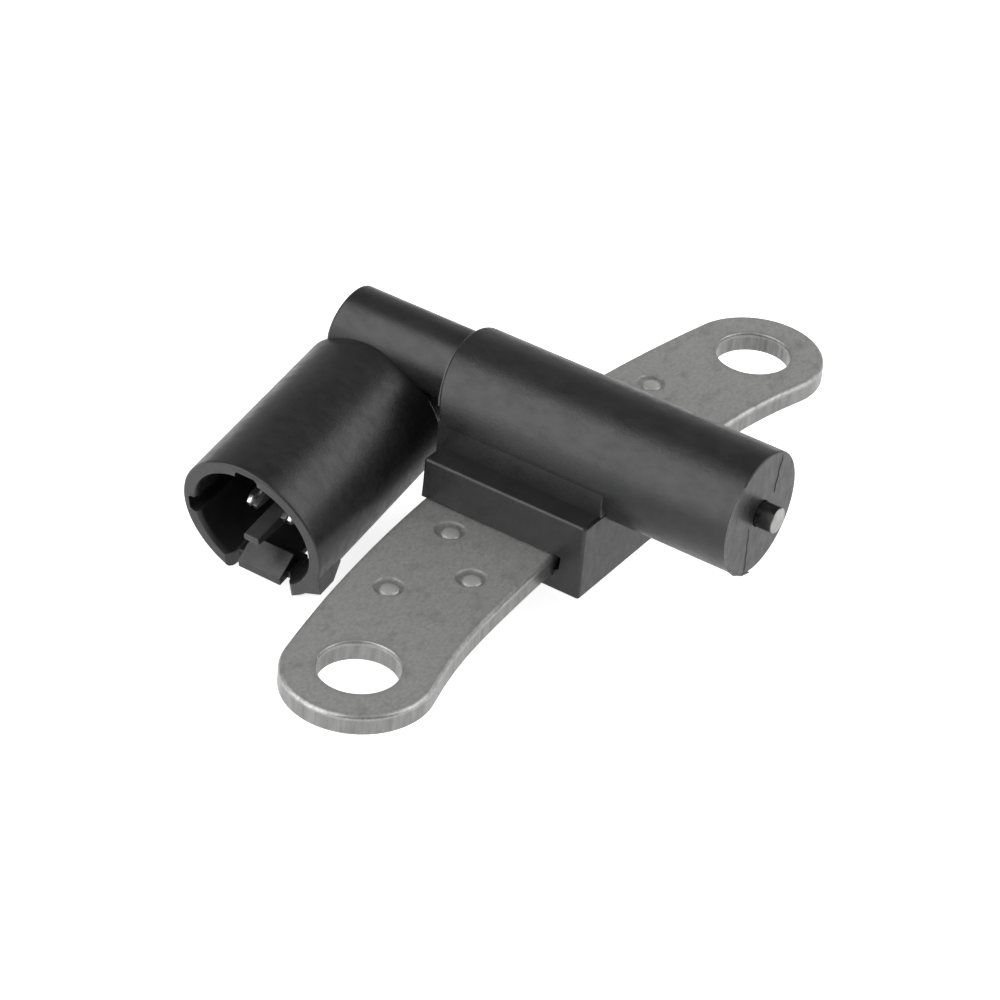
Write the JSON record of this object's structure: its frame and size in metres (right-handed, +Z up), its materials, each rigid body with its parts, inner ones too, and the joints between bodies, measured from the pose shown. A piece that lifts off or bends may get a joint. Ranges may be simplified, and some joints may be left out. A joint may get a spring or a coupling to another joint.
{
  "type": "crankshaft position sensor",
  "caption": "Inductive pickup in a black barrel with a steel pole tip, an angled plug socket and a curved steel mounting plate with bolt holes at its ends.",
  "frame": {"origin": "on the flat underside of the block that grips the plate, midway between the two bolt holes", "axes": "+X along the barrel towards the sensing tip, +Y along the plate from bolt hole to bolt hole, +Z up, away from the engine face"},
  "size_m": [0.0688, 0.109, 0.0301],
  "materials": {
    "plate_steel": "dull zinc-plated sheet",
    "black_plastic": "moulded, semi-matt",
    "pole_steel": "bright turned steel",
    "tin": "tin plate",
    "magnet_grey": "sintered",
    "bobbin_plastic": "natural nylon",
    "copper": "enamelled copper wire",
    "yellow_tape": "polyester tape",
    "solder": "solder"
  },
  "bodies": {
    "root": {"mounting_bracket": "plate_steel", "sensor_housing": "black_plastic", "pole_pin": "pole_steel", "magnet": "magnet_grey", "flux_plate": "pole_steel", "coil_bobbin": "bobbin_plastic", "coil_winding": "copper", "winding_tape": "yellow_tape", "terminal_left": "tin", "terminal_right": "tin", "terminal_spacer": "bobbin_plastic", "coil_lead_left": "copper", "coil_lead_right": "copper", "solder_joint_left": "solder", "solder_joint_right": "solder"}
  },
  "joints": []
}
